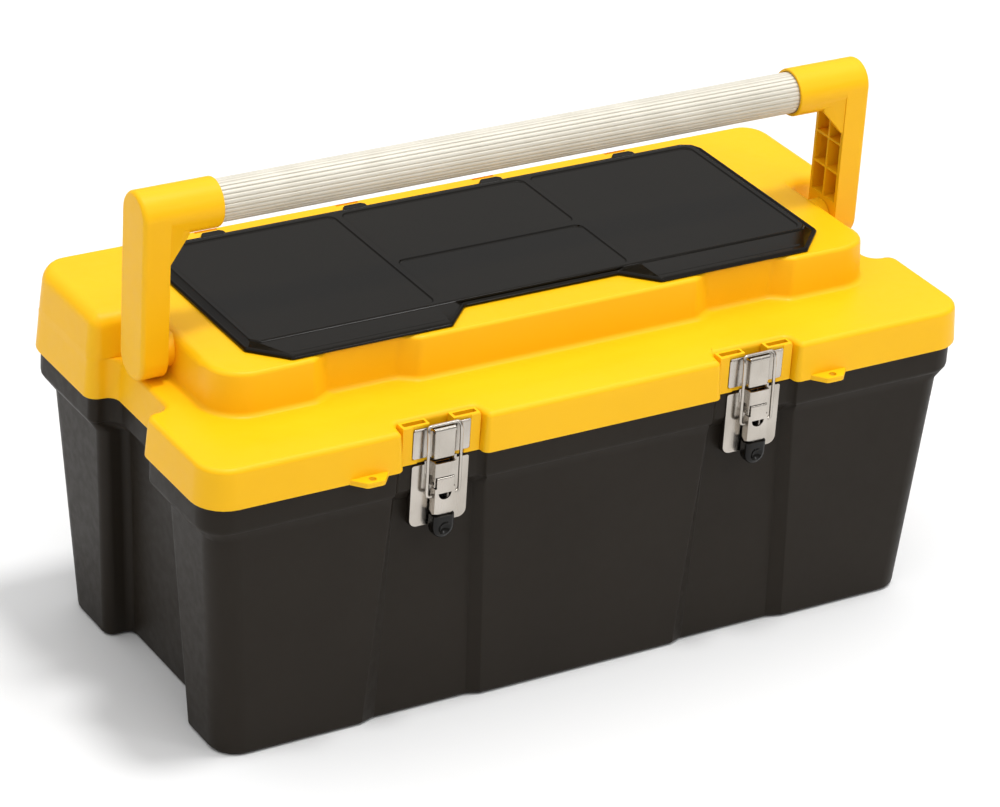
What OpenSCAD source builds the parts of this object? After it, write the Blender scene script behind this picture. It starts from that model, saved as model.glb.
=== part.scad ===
// Toolbox with a lift-out tray, an organiser under a flap in the lid and a folding handle.
// Millimetres. X runs along the box, the front faces -Y and Z is up. The origin lies on the
// floor, under the middle of the closed box.

/* [Box] */
// Length of the lid
lid_length = 610; // [600:1:630]
// Depth of the lid
lid_depth = 281; // [279:1:290]
// Height of the lid's lower edge
split_height = 200.5; // [198:0.5:204]
// Height of the shelf along the front of the lid
shelf_height = 230; // [228:0.5:233]
// Height of the top of the lid
lid_height = 262; // [260:0.5:266]
// Wall thickness of the mouldings
wall = 2.8; // [2.4:0.1:3]

/* [Tub] */
// Length of the tub at the floor
tub_length = 563; // [555:1:565]
// How far each tub wall leans out per millimetre of height
wall_lean = 0.077; // [0.07:0.001:0.08]
// Depth of the recess in each end
notch_depth = 20; // [16:0.5:20]
// Height of the band under the lid
band_height = 24; // [20:1:28]

/* [Handle] */
// Diameter of the grip tube
tube_d = 30; // [28:0.5:32]
// Distance from the handle's pivot to the tube's axis
handle_reach = 103.5; // [100:0.5:106]
// Thickness of a handle arm
arm_thickness = 20; // [18:0.5:20.5]
// Width of a handle arm
arm_width = 35; // [34:0.5:35.5]

/* [Organiser] */
// Length of the flap over the organiser
flap_length = 462; // [450:1:466]
// Depth of the compartments under the flap
well_depth = 25; // [18:1:26]

/* [Latches] */
// Distance of each latch from the middle of the box
latch_x = 126; // [125:0.5:127]
// Width of a latch plate
latch_width = 44; // [42:0.5:45]
// Thickness of the latch's sheet steel
sheet = 1.2; // [1:0.1:1.3]
// Diameter of the bail's wire
wire_d = 2.4; // [2:0.1:2.6]

/* [Tray] */
// Length of the lift-out tray
tray_length = 528; // [522:1:530]
// Depth of the lift-out tray, front to rear
tray_depth = 226; // [216:1:228]
// Height of the lift-out tray
tray_height = 55; // [45:1:56]

/* [Hidden] */
$fn = 48;
yellow = "gold";
black = "#2b2825";
steel = "silver";

half_length = lid_length / 2;
half_depth = lid_depth / 2;
corner_steps = 3;
eps = 0.01;
gap = 0.3;          // free play between parts that meet
running = 0.05;     // radial clearance of a pin in its bore

// Lid
skirt_draft = 1.8;
shelf_edge = 4;
channel_inner = latch_x - 31;
channel_outer = latch_x + 31.5;
channel_back = -half_depth + 15;
notch_front = -42;
notch_rear = 36;
notch_x = half_length - 19;
rim_gap = 3.5;      // the tub's rim lies this far inside the lid's outline
rim_height = 5.5;   // the rim rises this far into the lid
tier_x = half_length - 41;
tier_front = -77;
scallop_back = tier_front + 9;
top_plate = 2.8;

// Organiser
flap_front = -71;
flap_centre_front = -49;
flap_rear = 118;
flap_thickness = 5.2;
flap_base = lid_height + gap;
well_x = flap_length / 2 - 9;
well_front = -41;
well_rear = 107;
well_split_x = 80.75;
well_split_y = 29;
well_wall = 2.5;
tab_places = [-170, -56.5, 56.5, 170];
tab_width = 14;
cover_pin_r = 1.2;
cover_axis = [122, lid_height - 2];

// Handle
pivot_y = 3.5;
pivot_z = shelf_height + 18;
tube_z = pivot_z + handle_reach;
arm_in = tier_x + 6.5;
arm_out = arm_in + arm_thickness;
socket_in = 230.5;
socket_d = arm_width;
pivot_r = 8;
collar_r = 12;
clip_x = tier_x - 14.5;
clip_thickness = 1.6;
collar_from = clip_x + clip_thickness + gap;
groove_r = pivot_r - 1.2;

// Hinges: they stand out at the rear as far as the padlock eyes do at the front
padlock_reach = 9.6;
knuckle_r = 5;
hinge_y = half_depth + padlock_reach - knuckle_r;
hinge_z = split_height - 5.5;
hinge_pin_r = 1.75;
hinge_places = [-170, 170];
knuckle_length = 20;

// Latches: local places are measured from the seat's face at the split
seat_y = -half_depth + 7.7;
lever_pivot = [-6.5, -14];
bail_pivot = [-6.2, -23.8];
lever_pin_r = 1.3;
hat_half = 8;
hat_low = lever_pivot[1] + 5.1;
lever_half = 7.9;
neck_half = hat_half - sheet - 0.2;
neck_low = lever_pivot[1] - 3.5;
rivet_z = [-42, -33];
rivet_r = 1.6;
leg_half = 12.6;
bail_top = 27.9;
tongue_half = 8;
boss_in = 9;
boss_out = 30;
boss_top = shelf_height - 0.5;
padlock_x = 184.5;
padlock_y = -half_depth - 4.6;
padlock_r = 2.75;
padlock_thickness = 4;

// Tray
tray_base = 140.3;
tray_front = -tray_depth / 2 - 1;
tray_wall = 2.2;
tray_divider_y = -1;
tray_divider_top = tray_base + 32;
tray_grip_z = tray_base + tray_height - 7;
divider_x = 120;

// ------------------------------------------------------------ outlines
// An outline is a list of corners [x, y, radius, step_x, step_y, bend]. A corner moves by
// step_x and step_y when the outline shrinks by one. Bend is 1 at an outer corner, -1 at
// an inner one. Only the right half is listed, from the front to the rear.

function unit(v) = v / norm(v);
function turned(v, a) = [v[0] * cos(a) - v[1] * sin(a), v[0] * sin(a) + v[1] * cos(a)];

// Points on the arc that rounds corner b between its neighbours a and c
function arc_points(a, b, c, r) =
    let (u = unit(a - b))
    let (w = unit(c - b))
    let (half = acos(u * w) / 2)
    let (centre = b + unit(u + w) * r / sin(half))
    let (start = b + u * r / tan(half) - centre)
    let (finish = b + w * r / tan(half) - centre)
    let (sweep = atan2(cross(start, finish), start * finish))
    [for (i = [0 : corner_steps]) centre + turned(start, sweep * i / corner_steps)];

// A negative radius spreads the points evenly along Y instead
function corner_points(a, b, c, r) =
    r > 0
    ? arc_points(a, b, c, r)
    : [for (i = [0 : corner_steps]) b - [0, sign(b[0]) * r * (i / corner_steps - 0.5)]];

function flat(c) = [c[0], c[1]];
function mirrored(h) = [for (i = [len(h) - 1 : -1 : 0]) [-h[i][0], h[i][1], h[i][2], h[i][3]]];

// A closed ring of points from half an outline of corners [x, y, radius, z]
function ring(half) =
    let (c = concat(half, mirrored(half)))
    let (n = len(c))
    [for (i = [0 : n - 1])
        each [for (p = corner_points(flat(c[(i + n - 1) % n]), flat(c[i]),
                                     flat(c[(i + 1) % n]), c[i][2]))
            [p[0], p[1], c[i][3]]]];

function shrunk_radius(c, g) = c[2] < 0 ? c[2] : max(c[2] - c[5] * g, 0.6);
function shrunk(half, g, z) =
    [for (c = half) [c[0] + c[3] * g, c[1] + c[4] * g, shrunk_radius(c, g), z]];

// The tub's body at height z
function tub_outline(z) =
    let (x = tub_length / 2 + wall_lean * z)
    let (front = -half_depth + 12.7 - 0.0345 * z)
    let (back = -half_depth + 16.2 - 0.008 * z)
    let (rear = half_depth - 28 + wall_lean * z)
    [[79.6 + 0.062 * z, front, 3, -1, 1, 1],
     [latch_x - 37 + 0.035 * z, back, 2, -1, 1, -1],
     [latch_x + 36 - 0.03 * z, back, 2, 1, 1, -1],
     [latch_x + 47.6 - 0.068 * z, front, 3, 1, 1, 1],
     [x, front, 20, -1, 1, 1],
     [x, -72 + 0.05 * z, 8, -1, -1, 1],
     [x - notch_depth, -72 + 0.05 * z, 6, -1, -1, -1],
     [x - notch_depth, 50 - 0.07 * z, 6, -1, 1, -1],
     [x, 50 - 0.07 * z, 8, -1, 1, 1],
     [x, rear, 20, -1, -1, 1]];

// The lid's lower edge. The latch channels reach back to channel_y.
function skirt_outline(channel_y) =
    [[channel_inner, -half_depth, 5, -1, 1, 1],
     [channel_inner + 2, channel_y, 3, -1, 1, -1],
     [channel_outer - 2, channel_y, 3, 1, 1, -1],
     [channel_outer, -half_depth, 5, 1, 1, 1],
     [half_length, -half_depth, 24, -1, 1, 1],
     [half_length, notch_front, 10, -1, -1, 1],
     [notch_x, notch_front, 8, -1, -1, -1],
     [notch_x, notch_rear, 8, -1, 1, -1],
     [half_length, notch_rear, 10, -1, 1, 1],
     [half_length, half_depth, 24, -1, -1, 1]];

// The raised upper part of the lid, with a finger scallop in front of each outer panel
function tier_outline() =
    [[112, tier_front, 9, -1, 1, 1],
     [126, scallop_back, 9, -1, 1, -1],
     [178, scallop_back, 9, 1, 1, -1],
     [192, tier_front, 9, 1, 1, 1],
     [tier_x, tier_front, 27, -1, 1, 1],
     [tier_x, -36, -8, -1, 0, 1],
     [tier_x, -24, -8, -1, 0, 1],
     [tier_x, notch_rear, 8, -1, 1, -1],
     [half_length - skirt_draft, notch_rear + skirt_draft, 10, -1, 1, 1],
     [half_length - skirt_draft, half_depth - skirt_draft, 24, -1, -1, 1]];

first_rear_corner = 8;
edge_x = [3, 3, 3, 3, 7, 7, 7, 8, 11, 11];
edge_y = [3, 3, 3, 3, 3, 0, 0, 11, 11, 11];
edge_z = [3, 3, 3, 3, 4, 7, 7, 8, 11, 11];

// A ring of the skirt: shrunk by g, and at the shelf's edge by shelf as well
function skirt_ring(g, shelf, z, z_rear) =
    ring([for (i = [0 : 9])
        let (c = skirt_outline(channel_back)[i])
        let (sx = i < first_rear_corner ? g + shelf : g)
        let (sy = i < first_rear_corner - 1 ? g + shelf : g)
        [c[0] + c[3] * sx, c[1] + c[4] * sy, shrunk_radius(c, sx),
         i < first_rear_corner ? z : z_rear]]);

// A ring of the tier's wall: shrunk by g, and spread at its foot by foot
function tier_ring(g, foot, z, z_rear) =
    ring([for (i = [0 : 9])
        let (c = tier_outline()[i])
        let (sx = g - (i < first_rear_corner ? foot : 0))
        let (sy = g - (i < first_rear_corner - 1 ? foot : 0))
        [c[0] + c[3] * sx, c[1] + c[4] * sy, shrunk_radius(c, sx),
         i < first_rear_corner ? z : z_rear]]);

// A ring of the lid's rounded top edge, at the angle a from 0 (wall) to 90 (top)
function top_edge_ring(g, a, z) =
    ring([for (i = [0 : 9])
        let (c = tier_outline()[i])
        let (sx = g + edge_x[i] * (1 - cos(a)))
        let (sy = g + edge_y[i] * (1 - cos(a)))
        [c[0] + c[3] * sx, c[1] + c[4] * sy, shrunk_radius(c, sx),
         z - edge_z[i] * (1 - sin(a))]]);

// A closed wall through the rings, in order, that ends where it began
module ring_wall(rings) {
    n = len(rings[0]);
    m = len(rings);
    points = [for (r = rings) each r];
    faces = [for (j = [0 : m - 1], i = [0 : n - 1])
        let (up = (j + 1) % m * n)
        let (next = (i + 1) % n)
        each [[j * n + i, up + i, up + next], [j * n + i, up + next, j * n + next]]];
    polyhedron(points, faces, convexity = 10);
}

module plate(points, z, thickness) {
    translate([0, 0, z])
        linear_extrude(thickness)
            polygon([for (p = points) flat(p)]);
}

module x_cylinder(x_from, x_to, y, z, r) {
    translate([x_from, y, z])
        rotate([0, 90, 0])
            cylinder(r = r, h = x_to - x_from);
}

module box(low, high) {
    translate(low)
        cube(high - low);
}

module on_side(side) {
    if (side < 0) mirror([1, 0, 0]) children();
    else children();
}

// ------------------------------------------------------------ tub
module tub_shell() {
    band = split_height - gap;
    foot = 4;
    ring_wall([
        ring(shrunk(tub_outline(0), 3, 0)),
        ring(shrunk(tub_outline(1), 0.9, 0.9)),
        ring(shrunk(tub_outline(3), 0, 3)),
        ring(shrunk(tub_outline(band - band_height - 4), 0, band - band_height - 4)),
        ring(shrunk(skirt_outline(seat_y - rim_gap), rim_gap + 1, band - band_height + 4)),
        ring(shrunk(skirt_outline(seat_y - rim_gap), rim_gap, band - band_height + 6)),
        ring(shrunk(skirt_outline(seat_y - rim_gap), rim_gap, band)),
        ring(shrunk(skirt_outline(channel_back), rim_gap + eps, band)),
        ring(shrunk(skirt_outline(channel_back), rim_gap + eps, split_height + rim_height)),
        ring(shrunk(skirt_outline(channel_back), rim_gap + 3, split_height + rim_height)),
        ring(shrunk(skirt_outline(channel_back), rim_gap + 3, band - band_height + 8)),
        ring(shrunk(tub_outline(band - band_height - 4), wall, band - band_height - 4)),
        ring(shrunk(tub_outline(foot + 1), wall, foot + 1)),
        ring(shrunk(tub_outline(foot), wall + foot, foot - 0.5)),
        ring(shrunk(tub_outline(0), wall + foot, 0))
    ]);
    plate(ring(shrunk(tub_outline(0), wall + foot - 2, 0)), 0, 3);
}

// Ledges that carry the tray, on the inner face of each end
module tray_ledges() {
    for (side = [-1, 1])
        on_side(side)
            box([tray_length / 2 - 5, -48, tray_base - 6.3],
                [tub_length / 2 + wall_lean * 130 - notch_depth - 1, 30, tray_base - gap]);
}

// The tub's two knuckles of one hinge, one each side of the lid's knuckle
module tub_knuckles(x) {
    for (side = [-1, 1]) {
        from = side < 0 ? x - 1.5 * knuckle_length - gap : x + 0.5 * knuckle_length + gap;
        x_cylinder(from, from + knuckle_length, hinge_y, hinge_z, knuckle_r);
        box([from, half_depth - 5, hinge_z - knuckle_r],
            [from + knuckle_length, hinge_y, hinge_z + knuckle_r]);
    }
}

module latch_pad(side) {
    box([side * latch_x - 20, seat_y, split_height - 48],
        [side * latch_x + 20, -half_depth + 18, split_height - band_height]);
}

module tub() {
    color(black)
    difference() {
        union() {
            tub_shell();
            tray_ledges();
            for (x = hinge_places)
                tub_knuckles(x);
            for (side = [-1, 1])
                latch_pad(side);
        }
        for (x = hinge_places)
            x_cylinder(x - 50, x + 50, hinge_y, hinge_z, hinge_pin_r);
        for (side = [-1, 1], z = rivet_z)
            translate([side * latch_x, seat_y + 5, split_height + z])
                rotate([90, 0, 0])
                    cylinder(r = rivet_r, h = 6);
    }
}

module hinge_pin(x) {
    reach = 1.5 * knuckle_length + gap;
    color(steel)
        x_cylinder(x - reach, x + reach, hinge_y, hinge_z, hinge_pin_r);
}

// ------------------------------------------------------------ lid
// Outer and inner skins of the lid as one closed wall, and the plate across its top
module lid_shell() {
    low = split_height;
    shelf = shelf_height;
    top = lid_height;
    under = shelf - wall;
    step = low + rim_height + gap;
    lean = 1.5;
    ring_wall([
        skirt_ring(0, 0, low, low),
        skirt_ring(skirt_draft, 0, shelf - shelf_edge, shelf - shelf_edge),
        skirt_ring(skirt_draft, 0.3 * shelf_edge, shelf - 0.3 * shelf_edge, shelf - 2),
        skirt_ring(skirt_draft, shelf_edge, shelf, shelf - 1),
        tier_ring(0, 4, shelf, shelf + 1),
        tier_ring(0, 1.2, shelf + 1.2, shelf + 2),
        tier_ring(0, 0, shelf + 4, shelf + 4),
        top_edge_ring(lean, 0, top),
        top_edge_ring(lean, 30, top),
        top_edge_ring(lean, 60, top),
        top_edge_ring(lean, 90, top),
        top_edge_ring(lean + 5, 90, top),
        top_edge_ring(lean + 5, 90, top - top_plate - 0.6),
        tier_ring(wall + lean + 2.5, 0, top - 6, top - 6),
        tier_ring(wall, 0, shelf + 4, shelf + 4),
        tier_ring(wall, 0, under, under + 2),
        skirt_ring(wall + skirt_draft, 2, under, under - 1),
        skirt_ring(wall + skirt_draft, 0, under - 3, under - 3),
        skirt_ring(wall + 0.5, 0, step + 4, step + 4),
        skirt_ring(rim_gap + 3, 0, step + 2, step + 2),
        skirt_ring(rim_gap + 3, 0, step, step),
        skirt_ring(rim_gap - 0.5, 0, step, step),
        skirt_ring(rim_gap - 0.5, 0, low, low)
    ]);
    plate(top_edge_ring(lean + 2.5, 90, 0), top - top_plate, top_plate);
}

// The bin under the lid's top plate, with the organiser's four compartments
module organiser_bin() {
    color(yellow)
    difference() {
        box([-well_x, well_front, lid_height - well_depth - 2],
            [well_x, well_rear, lid_height - top_plate]);
        wells();
    }
}

// The four compartments under the flap
module wells() {
    low = lid_height - well_depth;
    high = lid_height + 1;
    half = well_wall / 2;
    for (side = [-1, 1])
        on_side(side)
            box([well_split_x + half, well_front + well_wall, low],
                [well_x - well_wall, well_rear - well_wall, high]);
    box([half - well_split_x, well_front + well_wall, low],
        [well_split_x - half, well_split_y - half, high]);
    box([half - well_split_x, well_split_y + half, low],
        [well_split_x - half, well_rear - well_wall, high]);
}

// Two hollow boxes beside each keeper's tongue, open at the top
module keeper_bosses(x) {
    low = split_height + 0.5;
    for (side = [-1, 1])
        translate([x, 0, 0])
            on_side(side)
                difference() {
                    box([boss_in, seat_y, low], [boss_out, channel_back + 1.5, boss_top]);
                    box([boss_in + 2, seat_y + 2, low + 6],
                        [boss_out - 2, channel_back - 1, boss_top + 1]);
                }
}

// Frame round the outer edges of each keeper
module keeper_frame(x) {
    low = split_height + 0.5;
    for (side = [-1, 1])
        translate([x, 0, 0])
            on_side(side)
                difference() {
                    box([latch_width / 2 - 4, seat_y - 0.7, low],
                        [boss_out, seat_y + 0.5, boss_top - 2]);
                    box([0, seat_y - 1, split_height + 4 - eps],
                        [latch_width / 2 + gap, seat_y, boss_top]);
                }
}

// Lug for a padlock, rooted in a notch in the foot of the lid's wall
module padlock_lug(side) {
    root = 1.5 - half_depth;
    tip = -half_depth - padlock_reach;
    translate([0, 0, split_height])
        linear_extrude(padlock_thickness)
            on_side(side)
                polygon([[169.5, root], [169.5, -half_depth], [178, tip], [190, tip],
                         [199, -half_depth], [199, root]]);
}

module padlock_eye(side) {
    color(yellow)
    difference() {
        padlock_lug(side);
        translate([side * padlock_x, padlock_y, split_height - 1])
            cylinder(r = padlock_r, h = padlock_thickness + 2);
    }
}

module lid_knuckle(x) {
    reach = knuckle_length / 2;
    x_cylinder(x - reach, x + reach, hinge_y, hinge_z, knuckle_r);
    box([x - reach, half_depth - 1.5, hinge_z], [x + reach, hinge_y, split_height + 8]);
}

// Thickened lid round the slot of a flap tab
module tab_seat(x) {
    box([x - tab_width / 2 - 4, cover_axis[0] - 5.5, lid_height - 7],
        [x + tab_width / 2 + 4, cover_axis[0] + 5, lid_height - 1]);
}

module tab_slot(x) {
    box([x - tab_width / 2 - gap, cover_axis[0] - 3.3, cover_axis[1] - 3],
        [x + tab_width / 2 + gap, cover_axis[0] + 2.8, lid_height + 1]);
}

module lid() {
    color(yellow)
    difference() {
        union() {
            lid_shell();
            for (side = [-1, 1]) {
                on_side(side)
                    x_cylinder(collar_from, arm_in - gap, pivot_y, pivot_z, collar_r);
                keeper_bosses(side * latch_x);
                keeper_frame(side * latch_x);
            }
            for (x = hinge_places)
                lid_knuckle(x);
            for (x = tab_places)
                tab_seat(x);
        }
        wells();
        for (side = [-1, 1])
            padlock_lug(side);
        for (x = tab_places) {
            tab_slot(x);
            x_cylinder(x - tab_width / 2 - 3, x + tab_width / 2 + 3,
                       cover_axis[0], cover_axis[1], cover_pin_r);
        }
        for (side = [-1, 1])
            on_side(side)
                x_cylinder(clip_x, arm_in, pivot_y, pivot_z, pivot_r);
        for (x = hinge_places)
            x_cylinder(x - 15, x + 15, hinge_y, hinge_z, hinge_pin_r + running);
    }
}

// ------------------------------------------------------------ organiser flap
function flap_outline(g) =
    [[62, flap_centre_front + g], [84, flap_front + g], [207 - 0.4 * g, flap_front + g],
     [flap_length / 2 - g, -47 + 0.4 * g], [flap_length / 2 - g, flap_rear - 12],
     [flap_length / 2 - 3.5 - g, flap_rear - 3.5 - g],
     [flap_length / 2 - 12, flap_rear - g]];

module flap_plan(g) {
    half = flap_outline(g);
    n = len(half);
    polygon(concat(half, [for (i = [n - 1 : -1 : 0]) [-half[i][0], half[i][1]]]));
}

// Sunk panels on the flap's top, one over each compartment
module flap_panels() {
    low = flap_base + flap_thickness - 1;
    high = low + 2;
    for (side = [-1, 1])
        on_side(side)
            box([81, -42, low], [220, 108, high]);
    box([-75, -42, low], [75, 25.5, high]);
    box([-75, 31.5, low], [75, 108, high]);
}

module flap_tab(x) {
    half = tab_width / 2;
    box([x - half, flap_rear - 4, flap_base], [x + half, cover_axis[0] + 1, flap_base + 1.6]);
    x_cylinder(x - half, x + half, cover_axis[0], cover_axis[1], 2.4);
    box([x - half, cover_axis[0] - 1, cover_axis[1]], [x + half, cover_axis[0] + 1, flap_base + 1]);
}

module organiser_cover() {
    color(black)
    difference() {
        union() {
            difference() {
                translate([0, 0, flap_base])
                    linear_extrude(flap_thickness)
                        flap_plan(0);
                translate([0, 0, flap_base - 1])
                    linear_extrude(flap_thickness - 1.2)
                        flap_plan(2.4);
            }
            for (x = tab_places)
                flap_tab(x);
        }
        flap_panels();
        for (x = tab_places)
            x_cylinder(x - tab_width, x + tab_width, cover_axis[0], cover_axis[1],
                       cover_pin_r + running);
    }
}

module cover_pins() {
    color(steel)
    for (x = tab_places)
        x_cylinder(x - tab_width / 2 - 2.8, x + tab_width / 2 + 2.8,
                   cover_axis[0], cover_axis[1], cover_pin_r);
}

// ------------------------------------------------------------ handle
// Web that braces the socket against the arm, just behind the arm's front face
module arm_web() {
    reach = 16;
    setback = 3;
    thickness = 3.5;
    under = -socket_d / 2;
    translate([0, pivot_y - arm_width / 2 + setback + thickness, tube_z])
        rotate([90, 0, 0])
            linear_extrude(thickness)
                polygon([[arm_in - reach, under / 2], [arm_in - reach, under],
                         [arm_in + 1, under - reach - 1], [arm_in + 1, under / 2]]);
}

// Cells cored out of the arm's inner face between its ribs
module arm_cells() {
    rib = 1.6;
    skin = 3;
    cell_rows = 3;
    low = pivot_z + 14.5;
    high = tube_z - socket_d / 2 - 1.5;
    row = (high - low) / cell_rows;
    for (i = [0 : cell_rows - 1], side = [-1, 1])
        box([arm_in - 1,
             pivot_y + (side < 0 ? -arm_width / 2 + skin : rib / 2),
             low + i * row + rib / 2],
            [arm_out - skin,
             pivot_y + (side < 0 ? -rib / 2 : arm_width / 2 - skin),
             low + (i + 1) * row - rib / 2]);
}

module handle_arm(side) {
    groove_from = clip_x - 0.2;
    groove_to = clip_x + clip_thickness + 0.2;
    color(yellow)
    on_side(side)
    difference() {
        union() {
            x_cylinder(arm_in, arm_out, pivot_y, pivot_z, arm_width / 2);
            box([arm_in, pivot_y - arm_width / 2, pivot_z],
                [arm_out, pivot_y + arm_width / 2, tube_z]);
            x_cylinder(socket_in, arm_out, pivot_y, tube_z, socket_d / 2);
            arm_web();
            x_cylinder(groove_to, arm_in + 1, pivot_y, pivot_z, pivot_r - running);
            x_cylinder(groove_from, groove_to + 0.2, pivot_y, pivot_z, groove_r);
            x_cylinder(groove_from - 2, groove_from, pivot_y, pivot_z, pivot_r - running);
        }
        arm_cells();
        x_cylinder(socket_in - 1, arm_in + 8, pivot_y, tube_z, tube_d / 2);
    }
}

// Snap ring in the groove of the arm's pivot, inside the lid
module handle_clip(side) {
    color(steel)
    on_side(side)
    difference() {
        x_cylinder(clip_x, clip_x + clip_thickness, pivot_y, pivot_z, pivot_r + 1.2);
        x_cylinder(clip_x - 1, clip_x + clip_thickness + 1, pivot_y, pivot_z, groove_r);
    }
}

// Aluminium tube with shallow flutes between the sockets
module grip_tube() {
    flutes = 28;
    flute_r = 1.2;
    reach = arm_in + 7;
    color("lightgray")
    difference() {
        union() {
            for (side = [-1, 1])
                on_side(side)
                    x_cylinder(socket_in, reach, pivot_y, tube_z, tube_d / 2);
            translate([-socket_in, pivot_y, tube_z])
                rotate([90, 0, 90])
                    linear_extrude(2 * socket_in)
                        difference() {
                            circle(r = tube_d / 2 - 0.4);
                            for (i = [1 : flutes])
                                rotate(i * 360 / flutes)
                                    translate([tube_d / 2 + 0.1, 0])
                                        circle(r = flute_r, $fn = 16);
                        }
        }
        x_cylinder(-reach - 1, reach + 1, pivot_y, tube_z, tube_d / 2 - 2);
    }
}

// ------------------------------------------------------------ tray
module rounded_slab(low, high, r) {
    size = high - low;
    translate(low)
        linear_extrude(size[2]) {
            translate([r, 0])
                square([size[0] - 2 * r, size[1]]);
            translate([0, r])
                square([size[0], size[1] - 2 * r]);
            for (x = [r, size[0] - r], y = [r, size[1] - r])
                translate([x, y])
                    circle(r = r);
        }
}

module tray() {
    half = tray_length / 2;
    rear = tray_front + tray_depth;
    top = tray_base + tray_height;
    color(black)
    union() {
        difference() {
            rounded_slab([-half, tray_front, tray_base], [half, rear, top], 14);
            rounded_slab([-half + tray_wall, tray_front + tray_wall, tray_base + tray_wall],
                         [half - tray_wall, rear - tray_wall, top + 1], 12);
        }
        box([-half + 1, tray_divider_y - 1, tray_base + 1],
            [half - 1, tray_divider_y + 1, tray_divider_top]);
        for (side = [-1, 1])
            on_side(side)
                tray_grooves();
    }
}

// Two pairs of ribs that hold a loose divider
module tray_grooves() {
    rear = tray_front + tray_depth;
    for (x = [divider_x - 2.9, divider_x + 1.1], y = [tray_divider_y, rear - 4])
        box([x, y, tray_base + 1], [x + 1.8, y + 3, tray_divider_top]);
}

module tray_divider(side) {
    rear = tray_front + tray_depth;
    color(black)
        box([side * divider_x - 0.9, tray_divider_y + 1.3, tray_base + tray_wall + 0.1],
            [side * divider_x + 0.9, rear - tray_wall - gap, tray_divider_top - 2]);
}

// Carrying bar on two posts that straddle the tray's middle wall
module tray_grip() {
    post_x = 62;
    bar_r = 7;
    color(yellow)
    difference() {
        union() {
            x_cylinder(-post_x - 6, post_x + 6, tray_divider_y, tray_grip_z, bar_r);
            for (side = [-1, 1])
                box([side * post_x - 6, tray_divider_y - 5, tray_base + tray_wall + 4],
                    [side * post_x + 6, tray_divider_y + 5, tray_grip_z]);
        }
        box([-post_x - 7, tray_divider_y - 1, tray_base],
            [post_x + 7, tray_divider_y + 1, tray_divider_top]);
    }
}

// ------------------------------------------------------------ latches
// Everything is placed from the middle of the latch seat's face at the split
module at_latch(side) {
    translate([side * latch_x, seat_y, split_height])
        children();
}

module rivet_places() {
    for (z = rivet_z)
        translate([0, 0, z])
            rotate([90, 0, 0])
                children();
}

// Base plate with a raised bridge, whose sides reach down as ears for the lever's pin
module latch_base(side) {
    low = -48;
    corner = 6;
    half = latch_width / 2;
    front = -9.2;
    hat_top = 1.5;
    ear_low = lever_pivot[1] - 3;
    ear_front = lever_pivot[0] - 1.6;
    color(steel)
    at_latch(side)
    difference() {
        union() {
            rotate([90, 0, 0])
                linear_extrude(sheet) {
                    translate([-half, low + corner])
                        square([latch_width, -1 - low - corner]);
                    translate([corner - half, low])
                        square([latch_width - 2 * corner, corner + 1]);
                    for (x = [corner - half, half - corner])
                        translate([x, low + corner])
                            circle(r = corner);
                }
            box([-hat_half, front, hat_low], [hat_half, front + sheet, hat_top]);
            for (s = [-1, 1])
                on_side(s) {
                    box([hat_half - sheet, front, hat_low], [hat_half, -sheet / 2, hat_top]);
                    box([hat_half - sheet, ear_front, ear_low],
                        [hat_half, -sheet / 2, hat_low + 1]);
                }
        }
        x_cylinder(-20, 20, lever_pivot[0], lever_pivot[1], lever_pin_r);
        rivet_places()
            cylinder(r = rivet_r, h = 10);
    }
}

module latch_rivets(side) {
    color(steel)
    at_latch(side)
    rivet_places()
        translate([0, 0, -4]) {
            cylinder(r = rivet_r, h = 4 + sheet);
            translate([0, 0, 4 + sheet])
                cylinder(r = 3, h = 0.9);
        }
}

module latch_pin(side) {
    color(steel)
    at_latch(side)
        x_cylinder(-hat_half, hat_half, lever_pivot[0], lever_pivot[1], lever_pin_r);
}

// Lever: a channel whose neck turns on the pin between the ears, with a half-round hole
module latch_lever(side) {
    low = -38.5;
    front = -9.4;
    top = -11;
    roll_r = 1.6;
    color(steel)
    at_latch(side)
    difference() {
        union() {
            box([-lever_half, front, low], [lever_half, front + sheet, neck_low]);
            box([-neck_half, front, neck_low - 1], [neck_half, front + sheet, top]);
            x_cylinder(-neck_half, neck_half, front + 1.4, top, roll_r);
            for (s = [-1, 1])
                on_side(s) {
                    x_cylinder(neck_half - sheet, neck_half, lever_pivot[0], lever_pivot[1], 2.9);
                    box([neck_half - sheet, front, neck_low - 1],
                        [neck_half, lever_pivot[0] + 1, lever_pivot[1]]);
                    box([lever_half - sheet, front, low], [lever_half, -2.6, neck_low]);
                }
        }
        x_cylinder(-20, 20, lever_pivot[0], lever_pivot[1], lever_pin_r + running);
        x_cylinder(-20, 20, bail_pivot[0], bail_pivot[1], wire_d / 2 + running);
        translate([0, front - 1, -21.5])
            rotate([-90, 0, 0])
                linear_extrude(3)
                    intersection() {
                        circle(r = 5);
                        translate([-6, 0])
                            square([12, 6]);
                    }
    }
}

// Moulded grip on the lever's end
module lever_tip(side) {
    half = 8.4;
    top = -38.5;
    low = -56.5;
    color(black)
    at_latch(side) {
        translate([0, -2.4, 0])
            rotate([90, 0, 0])
                linear_extrude(9) {
                    translate([-half, low + half])
                        square([2 * half, top - low - half]);
                    translate([0, low + half])
                        circle(r = half);
                }
        box([sheet - lever_half, -8.2, top - 1], [lever_half - sheet, -2.6, top + 6]);
    }
}

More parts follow.
